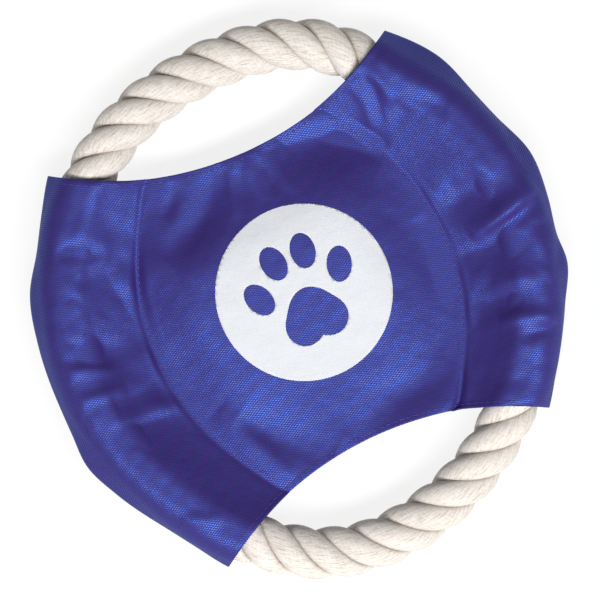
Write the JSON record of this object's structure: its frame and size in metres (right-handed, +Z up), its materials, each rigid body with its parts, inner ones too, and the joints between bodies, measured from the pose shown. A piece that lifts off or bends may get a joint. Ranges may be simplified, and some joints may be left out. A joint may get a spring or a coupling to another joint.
{
  "type": "flying ring",
  "caption": "Soft throwing disc: an oval rope ring held in two sewn sleeves of a fabric cover, with bare rope to grip at two open mouths.",
  "frame": {"origin": "on the surface that the disc lies on, under the middle of its outline", "axes": "+Z up through the printed panel; +Y towards one open mouth with bare rope; +X towards one fabric sleeve"},
  "size_m": [0.2082, 0.2166, 0.0233],
  "materials": {
    "rope": "soft-laid natural cotton rope, matt, fuzzy, cream",
    "tape": "cotton adhesive tape, matt, off-white",
    "binding": "waxed cotton thread wound tight, off-white",
    "cover": "plain-woven coated oxford cloth, royal blue, slight sheen",
    "thread": "blue polyester sewing thread, slight sheen",
    "print": "white screen-print ink on cloth, matt, the weave showing through"
  },
  "bodies": {
    "cover": {"top_panel": "cover", "bottom_panel": "cover", "print_disc": "print", "hem_thread_north_top": "thread", "hem_thread_south_top": "thread", "hem_thread_north_bottom": "thread", "hem_thread_south_bottom": "thread", "sleeve_seam_thread_right_top": "thread", "sleeve_seam_thread_left_top": "thread", "sleeve_seam_thread_right_bottom": "thread", "sleeve_seam_thread_left_bottom": "thread", "outer_seam_thread_right": "thread", "outer_seam_thread_left": "thread"},
    "rope_ring": {"rope_strand_1": "rope", "rope_strand_2": "rope", "rope_strand_3": "rope", "rope_joint_tape": "tape", "rope_end_binding_1": "binding", "rope_end_binding_2": "binding"}
  },
  "joints": [
    {"name": "rope_turn", "type": "hinge", "parent": "cover", "child": "rope_ring", "pos_m": [0, 0.001, 0.01125], "axis": [0, 0, 1], "range_deg": [-5, 5]}
  ]
}
